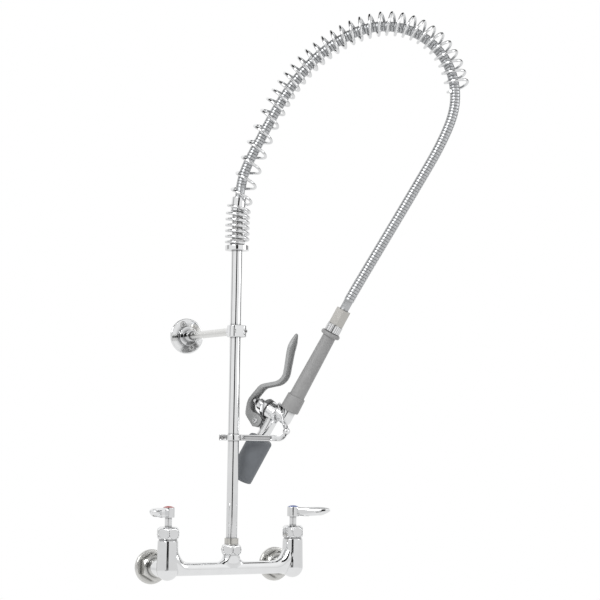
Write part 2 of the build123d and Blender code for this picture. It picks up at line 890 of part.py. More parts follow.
def make_finger_hook():
    """Split ring on the riser with its screw lug behind and its finger in front."""
    half = hook_tall / 2
    lug_long = hook_lug_reach - riser_dia / 2
    lug = Pos(-riser_dia / 2 - lug_long / 2, 0, 0) * Box(lug_long, hook_lug_wide, hook_tall)
    lug = fillet(lug.edges().filter_by(Axis.Z).group_by(Axis.X)[0], 2.4)
    hook = rod(hook_ring_dia, -half, half) + lug + hook_arm()
    hook -= rod(riser_dia + 2 * running_gap, -20, 20)
    hook -= Pos(-hook_lug_reach / 2 - 1, 0, 0) * Box(hook_lug_reach, hook_slit, hook_tall * 1.2)
    for spot in hook_screw_spots():
        room = rod(hook_screw_dia + 2 * seat_gap, -hook_lug_wide, hook_lug_wide)
        head_seat = hook_lug_wide / 2 + hook_screw_proud - hook_screw_head_tall
        room += rod(hook_screw_head_dia + 2 * seat_gap, head_seat, hook_lug_wide)
        hook -= spot * along_y(room)
    return hook_place() * hook


def hook_place():
    return Pos(0, -wall_to_bar, hook_height) * Rot(0, 0, hook_heading)


def make_hook_clamp_screws():
    screws = []
    for spot in hook_screw_spots():
        screw = socket_screw(hook_screw_dia, hook_screw_head_dia, hook_screw_head_tall, hook_lug_wide)
        front = -hook_lug_wide / 2 - hook_screw_proud
        screws.append(hook_place() * spot * Pos(0, front, 0) * along_y(screw))
    return screws


# Arch plane of the spring and hose
arch_angle = radians(arch_heading)
arch_way = Vector(cos(arch_angle), sin(arch_angle), 0)
arch_side = Vector(sin(arch_angle), -cos(arch_angle), 0)


def in_arch(reach, height):
    """Point in the arch plane, from its reach off the riser and its height."""
    return Vector(0, -wall_to_bar, height) + arch_way * reach


def bend_radii(points):
    """Radius of each bend: nine twentieths of the shorter run, over the tangent of half the turn."""
    radii = []
    for before, corner, after in zip(points, points[1:], points[2:]):
        run_in = corner - before
        run_out = after - corner
        half_turn = radians(run_in.get_angle(run_out) / 2)
        radii.append(0.45 * min(run_in.length, run_out.length) / tan(half_turn))
    return radii


def bent_line(points):
    """Straight runs joined by tangent arcs."""
    return FilletPolyline(*points, radius=bend_radii(points))


# Overhead spring
def make_spring_collar():
    """Round seat screwed on the riser's top."""
    collar = rod(collar_dia, collar_bottom, collar_top)
    collar = fillet(collar.edges().filter_by(GeomType.CIRCLE), collar_round)
    collar -= rod(riser_dia + 2 * running_gap, collar_bottom, riser_top)
    collar -= rod(adapter_dia + 2 * running_gap, riser_top - 1, collar_top)
    return bar_line * collar


def tangent_arc_pair(start, start_way, end, end_way):
    """Two arcs that join two points and meet each other and both directions smoothly."""
    chord = end - start
    both = start_way + end_way
    spread = 2 * (1 - start_way.dot(end_way))
    lean = chord.dot(both)
    reach = (sqrt(lean ** 2 + spread * chord.dot(chord)) - lean) / spread
    middle = (start + start_way * reach + end - end_way * reach) / 2
    first = Edge.make_tangent_arc(start, start_way, middle)
    second = Edge.make_tangent_arc(middle, first.tangent_at(1), end)
    return [first, second]


def coil_point(axis_line, binormal, distance, angle, radius):
    """Point of a coil: off its axis line by the radius, at the angle of its turn."""
    centre = axis_line.position_at(distance, position_mode=PositionMode.LENGTH)
    way = axis_line.tangent_at(distance, position_mode=PositionMode.LENGTH)
    normal = binormal.cross(way).normalized()
    return centre + normal * (radius * cos(angle)) + binormal * (radius * sin(angle))


def coil_travel(turns, sections):
    """Distance gone along the axis after a number of turns."""
    gone = 0.0
    for count, pitch in sections:
        part = min(max(turns, 0.0), count)
        gone += part * pitch
        turns -= part
    return gone


def coil_wire(axis_line, binormal, radius, sections, start_angle, hand):
    """Centre line of a coil: a pair of smooth arcs for each half turn."""
    turns = sum(count for count, pitch in sections)
    halves = round(turns * 2)
    small = 0.01

    def spot(turn):
        angle = start_angle + hand * turn * 2 * pi
        return coil_point(axis_line, binormal, coil_travel(turn, sections), angle, radius)

    def way(turn):
        low = max(turn - small, 0.0)
        high = min(turn + small, turns)
        return (spot(high) - spot(low)).normalized()

    edges = []
    for half in range(halves):
        start = half / 2
        end = (half + 1) / 2
        edges += tangent_arc_pair(spot(start), way(start), spot(end), way(end))
    return Wire(edges)


def least_gap(centre_line, turns, wire_dia):
    """Least gap between neighbouring turns of a coil, on points of its centre line."""
    count = int(turns * 24)
    points = [centre_line @ (step / count) for step in range(count + 1)]
    least = min(
        (points[first] - points[second]).length
        for first in range(count)
        for second in range(first + 12, min(first + 60, count + 1))
    )
    return least - wire_dia


def make_overhead_spring():
    """One unbroken wire: close turns on the collar, open turns round the arch."""
    axis_line = bent_line([in_arch(*point) for point in spring_axis_points])
    turns = sum(count for count, pitch in spring_turns_and_pitches)
    start_angle = -spring_hand * spring_first_tip * 2 * pi
    sections = spring_turns_and_pitches
    line = coil_wire(axis_line, arch_side, spring_mean_radius, sections, start_angle, spring_hand)
    print("spring turns", turns, "least gap", round(least_gap(line, turns, spring_wire_dia), 2))
    section = Plane(origin=line @ 0, z_dir=line % 0) * Circle(spring_wire_dia / 2)
    return sweep(section, path=line)


# Hose
def hose_route():
    """Points of the hose from the ferrule to the hexagon on the spray handle."""
    points = [ferrule_point(ferrule_tall), ferrule_point(ferrule_tall + hose_start_run)]
    points += [in_arch(*point) for point in hose_arch_points]
    hex_end = valve_point(0, 0, hose_hex_top)
    points += [hex_end + handle_way * hose_exit_run, hex_end]
    return points


def make_hose_adapter():
    """Threaded into the riser, with a tail for the ferrule on top."""
    hex_top = collar_top + adapter_hex_tall
    body = rod(riser_bore - 2 * running_gap, riser_top - adapter_spigot_long, riser_top)
    tail_top = ferrule_bottom - adapter_dia / 2 * tan(radians(ferrule_lean)) - seat_gap
    body += rod(adapter_dia, riser_top, tail_top) + hex_bar(adapter_hex_flats, collar_top, hex_top)
    body -= rod(liner_bore, riser_top - adapter_spigot_long, tail_top)
    return bar_line * body


def ferrule_point(height):
    """Point on the ferrule's axis, which leans a little into the arch."""
    lean_angle = radians(ferrule_lean)
    return in_arch(height * sin(lean_angle), ferrule_bottom + height * cos(lean_angle))


def make_hose_ferrule():
    """Smooth collar pressed on the start of the hose."""
    ferrule = rod(ferrule_dia, 0, ferrule_tall)
    ferrule = fillet(ferrule.edges().filter_by(GeomType.CIRCLE), 0.8)
    ferrule -= rod(liner_dia + 2 * running_gap, 0, ferrule_tall)
    start = ferrule_point(0)
    place = Plane(origin=start, x_dir=arch_side, z_dir=ferrule_point(ferrule_tall) - start)
    return place.location * ferrule


def section_at(line, distance, radius):
    """Circle square to the line, its X axis held steady across the arch plane."""
    centre = line.position_at(distance, position_mode=PositionMode.LENGTH)
    way = line.tangent_at(distance, position_mode=PositionMode.LENGTH)
    return Plane(origin=centre, x_dir=arch_side, z_dir=way) * Circle(radius)


def make_hose(line):
    """Ribbed outer hose with its bore: round ribs at an even pitch between plain ends."""
    plain = hose_dia
    count = int((line.length - 2 * plain) / hose_rib_pitch)
    pitch = (line.length - 2 * plain) / count
    root = hose_root_dia / 2
    crest = hose_dia / 2
    sections = [section_at(line, 0, root)]
    for rib in range(count):
        start = plain + rib * pitch
        for share, radius in ((0.06, root), (0.32, crest), (0.68, crest), (0.94, root)):
            sections.append(section_at(line, start + share * pitch, radius))
    sections.append(section_at(line, line.length, root))
    print("hose ribs", count, "length", round(line.length, 1))
    outer = loft(sections, ruled=True)
    return outer - round_sweep(line, hose_bore)


def round_sweep(line, diameter):
    return sweep(Plane(origin=line @ 0, z_dir=line % 0) * Circle(diameter / 2), path=line)


def make_hose_liner(line):
    return round_sweep(line, liner_dia) - round_sweep(line, liner_bore)


# Spray valve frame
lean = radians(handle_lean)
heading = radians(handle_heading)
handle_way = Vector(sin(lean) * cos(heading), sin(lean) * sin(heading), cos(lean))
uphill = Vector(-cos(lean) * cos(heading), -cos(lean) * sin(heading), sin(lean))
stem_way = uphill.rotate(Axis((0, 0, 0), handle_way), lever_turn)
valve_frame = Plane(origin=handle_foot, x_dir=stem_way, z_dir=handle_way)


def valve_point(reach, side, height):
    """Point of the spray valve, from its own frame to the faucet's frame."""
    return valve_frame.from_local_coords(Vector(reach, side, height))


def on_valve(shape):
    """Place a shape that is built along the handle."""
    return valve_frame.location * shape


def on_stem(shape):
    """Place a shape that is built along Z out along the stem."""
    return valve_frame.location * Pos(0, 0, stem_height) * along_x(shape)


def across_valve(shape, reach, height):
    """Place a shape that is built along Z across the valve, at a reach and height."""
    return valve_frame.location * Pos(reach, 0, height) * Rot(-90, 0, 0) * shape


# Spray valve handle
def make_handle_tube():
    """Inner tube of the handle, from the valve body to the hose nut."""
    return on_valve(tube(handle_tube_dia, handle_tube_bore, lower_sleeve_bottom + 1, handle_tube_top))


def make_grip_sleeve():
    """Soft grip drawn over the handle tube, with a flange at its top."""
    low = grip_low_dia / 2
    top = grip_top_dia / 2
    flange_bottom = grip_top - grip_flange_tall
    grip = turned(
        (0, grip_bottom),
        (low, grip_bottom),
        (low, lower_sleeve_top),
        (top, flange_bottom),
        (0, flange_bottom),
    )
    flange = rod(grip_flange_dia, flange_bottom, grip_top)
    grip += fillet(flange.edges().filter_by(GeomType.CIRCLE), grip_flange_tall * 0.4)
    grip -= rod(handle_tube_dia + 2 * running_gap, grip_bottom, grip_top)
    return on_valve(grip)


def make_lower_sleeve():
    """Moulded collar round the foot of the grip."""
    low = lower_sleeve_low_dia / 2
    top = lower_sleeve_top_dia / 2
    sleeve = turned(
        (0, lower_sleeve_bottom),
        (low, lower_sleeve_bottom),
        (top, lower_sleeve_top),
        (0, lower_sleeve_top),
    )
    sleeve = fillet(sleeve.edges().filter_by(GeomType.CIRCLE), lower_sleeve_round)
    sleeve -= rod(grip_low_dia + 2 * running_gap, grip_bottom, lower_sleeve_top)
    sleeve -= rod(handle_tube_dia + 2 * running_gap, lower_sleeve_bottom, lower_sleeve_top)
    return on_valve(sleeve)


def make_hose_end_nut():
    """Grooved round nut that draws the hose end down on its washer."""
    nut = rod(hose_nut_dia, hose_nut_bottom, hose_nut_top)
    nut = chamfer(nut.edges().filter_by(GeomType.CIRCLE), 0.7)
    groove = Pos(hose_nut_dia / 2, 0, 0) * rod(1.1, hose_nut_bottom, hose_nut_top)
    nut -= [Rot(0, 0, step * 360 / hose_nut_grooves) * groove for step in range(hose_nut_grooves)]
    nut -= rod(handle_tube_dia + 2 * running_gap, hose_nut_bottom, hose_washer_top)
    nut -= rod(hose_tail_dia + 2 * seat_gap, hose_nut_bottom, hose_nut_top)
    return on_valve(nut)


def make_hose_washer():
    return on_valve(tube(handle_tube_dia, liner_bore, handle_tube_top, hose_washer_top))


def make_hose_end_hex():
    """Hexagonal hose end, drilled for the liner."""
    end = hex_bar(hose_hex_flats, hose_nut_top, hose_hex_top)
    corner = hose_hex_flats / sqrt(3)
    end &= turned(
        (0, hose_nut_top),
        (corner - 1.2, hose_nut_top),
        (corner, hose_nut_top + 1.6),
        (corner, hose_hex_top - 1.6),
        (corner - 1.2, hose_hex_top),
        (0, hose_hex_top),
    )
    end += rod(hose_tail_dia, hose_washer_top, hose_nut_top)
    end -= rod(liner_dia + 2 * running_gap, hose_washer_top, hose_hex_top)
    return on_valve(end)


# Spray valve body and stem
def valve_castings():
    """Outside of the spray valve body."""
    body = rod(neck_dia, neck_bottom, lower_sleeve_bottom)
    body = fillet(body.edges().filter_by(GeomType.CIRCLE).sort_by(Axis.Z)[0], 6)
    rear = Pos(0, 0, rear_height) * along_x(rod(rear_dia, 0, chamber_start + 6))
    chamber = Pos(0, 0, stem_height) * along_x(rod(valve_chamber_dia, chamber_start, chamber_reach))
    shoulder = chamber.edges().filter_by(GeomType.CIRCLE).sort_by(Axis.X)[0]
    body += rear + fillet(shoulder, 5)
    leg = turned(
        (0, spray_cup_bottom),
        (spray_cup_dia / 2, spray_cup_bottom),
        (spray_cup_dia / 2, spray_cup_shoulder),
        (outlet_low_dia / 2, spray_cup_top),
        (outlet_low_dia / 2, outlet_waist),
        (outlet_top_dia / 2, stem_height),
        (0, stem_height),
    )
    body += Pos(outlet_reach, 0, 0) * leg
    lug_long = pivot_reach - outlet_reach
    lug = Box(lug_long, lug_thick, 2 * lug_round)
    body += Pos(outlet_reach + lug_long / 2, 0, pivot_height) * lug
    body += Pos(pivot_reach, 0, pivot_height) * Rot(90, 0, 0) * Cylinder(lug_round, lug_thick)
    return body


def valve_passages():
    """Water way: down the handle, past the seat, and out through the spray cup."""
    way = rod(handle_tube_dia + 2 * seat_gap, lower_sleeve_bottom - 1, lower_sleeve_bottom + 2)
    way += rod(handle_tube_bore, stem_height - washer_cavity_dia / 2 + 1, lower_sleeve_bottom)
    cavity = rod(washer_cavity_dia, -1, washer_end)
    cavity += rod(seat_ring_dia, washer_end, washer_end + seat_ring_thick)
    cavity += rod(valve_cavity_dia, washer_end + seat_ring_thick, chamber_reach)
    way += Pos(0, 0, stem_height) * along_x(cavity)
    cup_room = spray_cup_dia / 2 - spray_cup_wall
    cup = turned(
        (0, spray_cup_bottom),
        (cup_room, spray_cup_bottom),
        (cup_room, spray_cup_shoulder - 1),
        (outlet_hole_dia / 2, spray_cup_top),
        (outlet_hole_dia / 2, stem_height),
        (0, stem_height),
    )
    way += Pos(outlet_reach, 0, 0) * cup
    way += Pos(pivot_reach, 0, pivot_height) * Rot(90, 0, 0) * Cylinder(pivot_dia / 2, lug_thick * 2)
    return way


def face_bridge():
    """Thin bar across the cup that takes the screw of the spray face."""
    top = spray_cup_bottom + spray_face_thick + 8
    bottom = spray_cup_bottom + spray_face_thick + seat_gap
    bar = Pos(0, 0, (top + bottom) / 2) * Box(spray_cup_dia - spray_cup_wall, 6, top - bottom)
    bar -= rod(face_screw_dia, bottom, top)
    return Pos(outlet_reach, 0, 0) * bar


def make_valve_body():
    return on_valve(valve_castings() - valve_passages() + face_bridge())


def make_bonnet_gasket():
    """Black ring between the valve body and its bonnet."""
    return on_stem(tube(bonnet_gasket_dia, valve_cavity_dia, chamber_reach, gasket_end))


def make_valve_bonnet():
    """Hexagonal bonnet with a round nose, bored for the stem and its spring."""
    corner = spray_bonnet_hex_flats / sqrt(3)
    flats = spray_bonnet_hex_flats / 2
    nut = hex_bar(spray_bonnet_hex_flats, gasket_end, spray_hex_end, 0)
    nut &= turned(
        (0, gasket_end),
        (corner, gasket_end),
        (corner, spray_hex_end - 2.4),
        (flats, spray_hex_end),
        (0, spray_hex_end),
    )
    nose = rod(spray_bonnet_nose_dia, gasket_end, spray_bonnet_nose_end)
    nut += fillet(nose.edges().filter_by(GeomType.CIRCLE).sort_by(Axis.Z)[-1], 1.6)
    thread_start = chamber_reach - spray_bonnet_thread_long
    nut += rod(valve_cavity_dia - 2 * seat_gap, thread_start, gasket_end)
    spring_room = 2 * stem_spring_radius + stem_spring_wire + 1.0
    nut -= rod(spring_room, stem_spring_start, packing_start)
    nut -= rod(packing_dia, packing_start, pack_end)
    nut -= rod(stem_dia + 2 * running_gap, thread_start, spray_bonnet_nose_end)
    return on_stem(nut)


def make_stem_packing():
    return on_stem(tube(packing_dia, stem_dia + 2 * running_gap, packing_start, pack_end))


def make_valve_stem():
    """Stem with its domed push head outside and a foot that holds the seat washer."""
    shoulder = stem_head_end - stem_head_dome
    stem = domed_rod(stem_head_dia, stem_head_start, shoulder, stem_head_dome)
    stem += rod(stem_dia, stem_inner_end, stem_head_start)
    stem += rod(stem_foot_dia, stem_inner_end, stem_foot_end)
    return on_stem(stem)


def make_stem_spring():
    """Small return spring round the stem, inside the bonnet."""
    start = stem_spring_start + stem_spring_wire / 2 + seat_gap
    sections = [(stem_spring_turns, stem_spring_pitch)]
    axis_line = Edge.make_line(Vector(0, 0, start), Vector(0, 0, start + 20))
    line = coil_wire(axis_line, Vector(0, 1, 0), stem_spring_radius, sections, 0.0, 1)
    section = Plane(origin=line @ 0, z_dir=line % 0) * Circle(stem_spring_wire / 2)
    return on_stem(sweep(section, path=line))


def make_seat_washer():
    return on_stem(tube(seat_washer_dia, stem_dia, stem_foot_end, washer_end - seat_gap))


def make_seat_ring():
    ring = tube(seat_ring_dia, seat_ring_bore, washer_end, washer_end + seat_ring_thick)
    return on_stem(ring)


# Squeeze lever
def between(rows, place):
    """Value at a place in rows of (place, value), straight between the rows."""
    for (low, low_value), (high, high_value) in zip(rows, rows[1:]):
        if place <= high:
            return low_value + (high_value - low_value) * (place - low) / (high - low)
    return rows[-1][1]


def lever_section(line, share):
    """Channel section of the lever, square to its side line, open towards the handle."""
    half = between(lever_outline, share)
    skin = min(lever_skin, half * lever_wall_share)
    deep = between(lever_depths, share)
    floor = min(lever_skin, deep * lever_floor_share)
    outline = [
        (-half, 0),
        (half, 0),
        (half, deep),
        (half - skin, deep),
        (half - skin, floor),
        (skin - half, floor),
        (skin - half, deep),
        (-half, deep),
    ]
    place = Plane(origin=line @ share, x_dir=(0, 1, 0), z_dir=line % share)
    inward = -1 if place.y_dir.X > 0 else 1
    return place * make_face(Polyline(*[(across, inward * depth) for across, depth in outline], close=True))


def make_squeeze_lever():
    """Channel-shaped lever swept along its side view, with two cheeks at the pivot."""
    corners = [Vector(reach, 0, height) for reach, height in lever_side_points]
    line = FilletPolyline(*corners, radius=lever_side_radii)
    shares = [step / lever_stations for step in range(lever_stations + 1)]
    lever = loft([lever_section(line, share) for share in shares], ruled=True)
    cheek_face = Plane.XZ * make_face(Polyline(*cheek_points, close=True))
    cheek_face = fillet(cheek_face.vertices(), 1.5)
    cheek = extrude(cheek_face, lever_wide / 2, both=True)
    gap_wide = lever_wide - 2 * lever_skin
    slab = Pos(pivot_reach, 0, pivot_height) * Box(80, gap_wide, 80)
    lever += cheek - slab
    lever -= Pos(pivot_reach, 0, pivot_height) * Rot(90, 0, 0) * Cylinder(pivot_dia / 2, lever_wide)
    return on_valve(lever)


def make_lever_pivot_screw():
    """Pivot screw through both cheeks and the lug, its head on the near side."""
    radius = pivot_dia / 2 - running_gap
    head_bottom = lever_wide / 2 + seat_gap
    screw = rod(2 * radius, -lever_wide / 2, head_bottom)
    head = rod(pivot_head_dia, head_bottom, head_bottom + pivot_head_tall)
    head = chamfer(head.edges().filter_by(GeomType.CIRCLE).sort_by(Axis.Z)[-1], 0.5)
    head -= Pos(0, 0, head_bottom + pivot_head_tall) * cross_slot(pivot_head_dia * 0.7)
    return across_valve(screw + head, pivot_reach, pivot_height)


# Hold-down ring
def make_hold_down_ring():
    """Wire ring that hangs round the valve's neck and the tip of the hook."""
    ring = Torus(ring_radius, ring_wire_dia / 2)
    lean_over = Rot(0, 0, ring_heading) * Rot(0, 90 - ring_lean, 0)
    return Pos(ring_centre) * lean_over * ring


# Bumper and spray face
def make_bumper():
    """Rubber cup round the spray head, closed at the top round the outlet leg."""
    outer = rod(bumper_dia, bumper_bottom, bumper_top)
    top_rim = outer.edges().filter_by(GeomType.CIRCLE).sort_by(Axis.Z)[-1]
    outer = fillet(top_rim, bumper_round)
    outer = fillet(outer.edges().filter_by(GeomType.CIRCLE).sort_by(Axis.Z)[0], 1.2)
    room = spray_cup_dia / 2 + seat_gap
    gap = bumper_hole_gap
    hollow = turned(
        (0, bumper_bottom),
        (bumper_dia / 2 - bumper_wall, bumper_bottom),
        (bumper_dia / 2 - bumper_wall, spray_cup_bottom - 1),
        (room, spray_cup_bottom),
        (room, spray_cup_shoulder),
        (outlet_low_dia / 2 + gap, spray_cup_top + gap),
        (outlet_low_dia / 2 + gap, bumper_top),
        (0, bumper_top),
    )
    return on_valve(Pos(outlet_reach, 0, 0) * (outer - hollow))


def make_spray_face():
    """Perforated plate in the mouth of the spray cup."""
    room = spray_cup_dia / 2 - spray_cup_wall - seat_gap
    top = spray_cup_bottom + spray_face_thick
    face = rod(2 * room, spray_cup_bottom, top)
    holes = []
    for count, radius in spray_hole_rings:
        hole = Pos(radius, 0, 0) * rod(spray_hole_dia, spray_cup_bottom, top)
        holes += [Rot(0, 0, step * 360 / count) * hole for step in range(count)]
    face -= holes
    face -= rod(face_screw_dia + 2 * seat_gap, spray_cup_bottom, top)
    return on_valve(Pos(outlet_reach, 0, 0) * face)


def make_spray_face_screw():
    """Screw up through the face into the bridge of the cup."""
    head_bottom = spray_cup_bottom - 2.0
    screw = rod(face_screw_head_dia, head_bottom, spray_cup_bottom)
    screw -= Pos(0, 0, head_bottom) * cross_slot(face_screw_head_dia * 0.7)
    screw += rod(face_screw_dia - 2 * running_gap, spray_cup_bottom, spray_cup_bottom + spray_face_thick + 6)
    return on_valve(Pos(outlet_reach, 0, 0) * screw)


def write_valves():
    """Everything that the hot and cold valves have one each of."""
    makers = {
        "inlet_flange": make_inlet_flange,
        "seat_seal": make_seat_seal,
        "fixed_disc": make_fixed_disc,
        "moving_disc": make_moving_disc,
        "cartridge": make_cartridge,
        "spindle": make_spindle,
        "bonnet": make_bonnet,
        "handle": make_handle,
        "handle_screw": make_handle_screw,
        "index_button": make_index_button,
    }
    for side in side_sign:
        for name, maker in makers.items():
            write_node(f"{side}_{name}", maker(side))


def write_riser_and_brackets():
    write_node("riser_nut", make_riser_nut())
    write_node("riser_washer", make_riser_washer())
    write_node("riser_tube", make_riser_tube())
    write_node("riser_sleeve", make_riser_sleeve())
    write_node("wall_flange", make_wall_flange())
    write_node("wall_screws", *make_wall_screws())
    write_node("bracket_rod", make_bracket_rod())
    write_node("bracket_clamp", make_bracket_clamp())
    write_node("bracket_clamp_screw", make_bracket_clamp_screw())
    write_node("finger_hook", make_finger_hook())
    write_node("hook_clamp_screws", *make_hook_clamp_screws())


def write_spring_and_hose():
    write_node("spring_collar", make_spring_collar())
    write_node("overhead_spring", make_overhead_spring())
    write_node("hose_adapter", make_hose_adapter())
    write_node("hose_ferrule", make_hose_ferrule())
    route = hose_route()
    print("hose bend radii", [round(radius) for radius in bend_radii(route)])
    line = bent_line(route)
    write_node("hose", make_hose(line))
    write_node("hose_liner", make_hose_liner(line))


def write_spray_valve():
    write_node("hose_end_hex", make_hose_end_hex())
    write_node("hose_end_nut", make_hose_end_nut())
    write_node("hose_washer", make_hose_washer())
    write_node("handle_tube", make_handle_tube())
    write_node("grip_sleeve", make_grip_sleeve())
    write_node("lower_sleeve", make_lower_sleeve())
    write_node("valve_body", make_valve_body())
    write_node("bonnet_gasket", make_bonnet_gasket())
    write_node("valve_bonnet", make_valve_bonnet())
    write_node("stem_packing", make_stem_packing())
    write_node("valve_stem", make_valve_stem())
    write_node("stem_spring", make_stem_spring())
    write_node("seat_washer", make_seat_washer())
    write_node("seat_ring", make_seat_ring())
    write_node("squeeze_lever", make_squeeze_lever())
    write_node("lever_pivot_screw", make_lever_pivot_screw())
    write_node("hold_down_ring", make_hold_down_ring())
    write_node("bumper", make_bumper())
    write_node("spray_face", make_spray_face())
    write_node("spray_face_screw", make_spray_face_screw())


os.makedirs("parts", exist_ok=True)
write_node("faucet_body", make_faucet_body())
write_node("inlet_washers", make_inlet_washer("hot"), make_inlet_washer("cold"))
write_valves()
write_riser_and_brackets()
write_spray_valve()
write_spring_and_hose()
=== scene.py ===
from math import cos, pi, radians, sin
import bmesh
import bpy
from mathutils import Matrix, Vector


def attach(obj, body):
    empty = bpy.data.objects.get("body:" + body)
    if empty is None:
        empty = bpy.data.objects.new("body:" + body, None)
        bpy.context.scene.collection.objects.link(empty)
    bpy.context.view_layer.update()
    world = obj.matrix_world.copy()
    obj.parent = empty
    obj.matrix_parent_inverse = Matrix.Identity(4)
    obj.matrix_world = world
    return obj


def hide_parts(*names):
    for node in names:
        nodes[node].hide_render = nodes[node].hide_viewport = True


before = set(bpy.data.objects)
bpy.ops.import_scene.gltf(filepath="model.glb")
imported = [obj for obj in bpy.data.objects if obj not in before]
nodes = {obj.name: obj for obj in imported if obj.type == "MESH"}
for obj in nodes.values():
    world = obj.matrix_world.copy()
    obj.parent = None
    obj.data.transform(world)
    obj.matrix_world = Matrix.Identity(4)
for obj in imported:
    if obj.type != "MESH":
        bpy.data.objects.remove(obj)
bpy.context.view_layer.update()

scene = bpy.context.scene

# Camera: a catalogue view from the left of the faucet, a little above its bar and looking
# slightly up, through a long lens that keeps the upright pipe and the arch straight.
camera_data = bpy.data.cameras.new("catalogue_camera")
camera_data.lens = 102.0
camera_data.sensor_width = 36.0
camera_data.clip_end = 30.0
camera = bpy.data.objects.new("catalogue_camera", camera_data)
camera.location = (-1.1058, -2.3185, 0.1976)
camera.rotation_euler = (radians(94.503), radians(-0.916), radians(-28.32))
scene.collection.objects.link(camera)
scene.camera = camera


# Body casting: one brass casting holds the cross bar, both valve housings, the inlet arms and
# the centre boss. It is ground, buffed and chrome plated, so its faces keep the slow ripple of
# the buffing wheel. Its corners and its joins with other parts are darkened with painted shade.
chrome_tone = (0.84, 0.845, 0.85)
# Painted shade in corners and at joins: its dark tone, how far it reaches and its samples
chrome_painted_shade_tone = (0.06, 0.06, 0.065)
buffing_ripple = 0.000012
painted_shade_reach = 0.0035
painted_shade_samples = 32


def grain_noise(tree, scale, detail=2.0):
    """Noise fixed to the piece, with grains about 1/scale metres wide."""
    place = tree.nodes.new("ShaderNodeTexCoord")
    noise = tree.nodes.new("ShaderNodeTexNoise")
    noise.inputs["Scale"].default_value = scale
    noise.inputs["Detail"].default_value = detail
    tree.links.new(place.outputs["Object"], noise.inputs["Vector"])
    return noise.outputs["Fac"]


def between_values(tree, source, low, high, start=0.3, end=0.7):
    """Carry a source that runs from start to end over to a value from low to high."""
    carry = tree.nodes.new("ShaderNodeMapRange")
    carry.inputs["From Min"].default_value = start
    carry.inputs["From Max"].default_value = end
    carry.inputs["To Min"].default_value = low
    carry.inputs["To Max"].default_value = high
    tree.links.new(source, carry.inputs["Value"])
    return carry.outputs["Result"]


def between_tones(tree, source, low, high, start=0.3, end=0.7):
    """Carry a source that runs from start to end over to a colour from low to high."""
    carry = tree.nodes.new("ShaderNodeValToRGB")
    first, last = carry.color_ramp.elements
    first.position = start
    first.color = (*low, 1)
    last.position = end
    last.color = (*high, 1)
    tree.links.new(source, carry.inputs["Fac"])
    return carry.outputs["Color"]


def painted_corner_shade(tree, tone, painted_shade_tone, reach, start, end):
    """Tone of a surface with painted shade: it turns to the shade tone where other surfaces stand
    within reach.
    """
    # Ambient occlusion paints shade into corners, recesses and joins with other parts
    closeness = tree.nodes.new("ShaderNodeAmbientOcclusion")
    closeness.inputs["Distance"].default_value = reach
    closeness.samples = painted_shade_samples
    openness = between_values(tree, closeness.outputs["AO"], 0.0, 1.0, start, end)
    mixed = tree.nodes.new("ShaderNodeMix")
    mixed.data_type = "RGBA"
    # The Mix node has several sockets of one name, so its share and its two colours go by number
    share, closed, opened = mixed.inputs[0], mixed.inputs[6], mixed.inputs[7]
    result = mixed.outputs[2]
    closed.default_value = (*painted_shade_tone, 1)
    tree.links.new(openness, share)
    tree.links.new(tone, opened)
    return result


def metal_with_painted_shade(name, tone, painted_shade_tone, roughness, spread, ripple=0.0, ripple_scale=60.0,
                 reach=painted_shade_reach, drift=0.02, start=0.30, end=0.95):
    """Bare or plated metal, whose tone and shine drift slowly, with painted shade in its corners.

    The painted shade tone gives way to the metal's own as the surface opens up from start to end.
    """
    material = bpy.data.materials.new(name)
    material.use_nodes = True
    tree = material.node_tree
    shader = tree.nodes["Principled BSDF"]
    shader.inputs["Metallic"].default_value = 1.0
    slow = grain_noise(tree, ripple_scale)
    paler = [min(part * (1 + drift), 1.0) for part in tone]
    deeper = [part * (1 - drift) for part in tone]
    even = between_tones(tree, slow, deeper, paler)
    # Painted shade: the drifting tone is darkened in corners and at joins
    tone_with_painted_shade = painted_corner_shade(tree, even, painted_shade_tone, reach, start, end)
    tree.links.new(tone_with_painted_shade, shader.inputs["Base Color"])
    shine = between_values(tree, slow, roughness - spread, roughness + spread)
    tree.links.new(shine, shader.inputs["Roughness"])
    if ripple:
        relief = tree.nodes.new("ShaderNodeBump")
        relief.inputs["Distance"].default_value = ripple
        tree.links.new(slow, relief.inputs["Height"])
        tree.links.new(relief.outputs["Normal"], shader.inputs["Normal"])
    return material


def finish_nodes(material, *names):
    """Give solids of the frame a finish."""
    for name in names:
        nodes[name].data.materials.clear()
        nodes[name].data.materials.append(material)


chrome = metal_with_painted_shade("buffed_chrome", chrome_tone, chrome_painted_shade_tone, roughness=0.055,
                      spread=0.02, ripple=buffing_ripple)
finish_nodes(chrome, "faucet_body")

# Inlet flanges: turned brass with a hexagon for the wrench, nickel plated and left satin from
# the lathe. Each seals on the end of its inlet arm with a flat red fibre washer.
nickel_tone = (0.66, 0.655, 0.635)
# The dark nickel tone is painted shade for corners and joins
nickel_painted_shade_tone = (0.05, 0.05, 0.05)
satin_nickel = metal_with_painted_shade("satin_nickel", nickel_tone, nickel_painted_shade_tone, roughness=0.24,
                            spread=0.03, drift=0.03)
finish_nodes(satin_nickel, "hot_inlet_flange", "cold_inlet_flange")


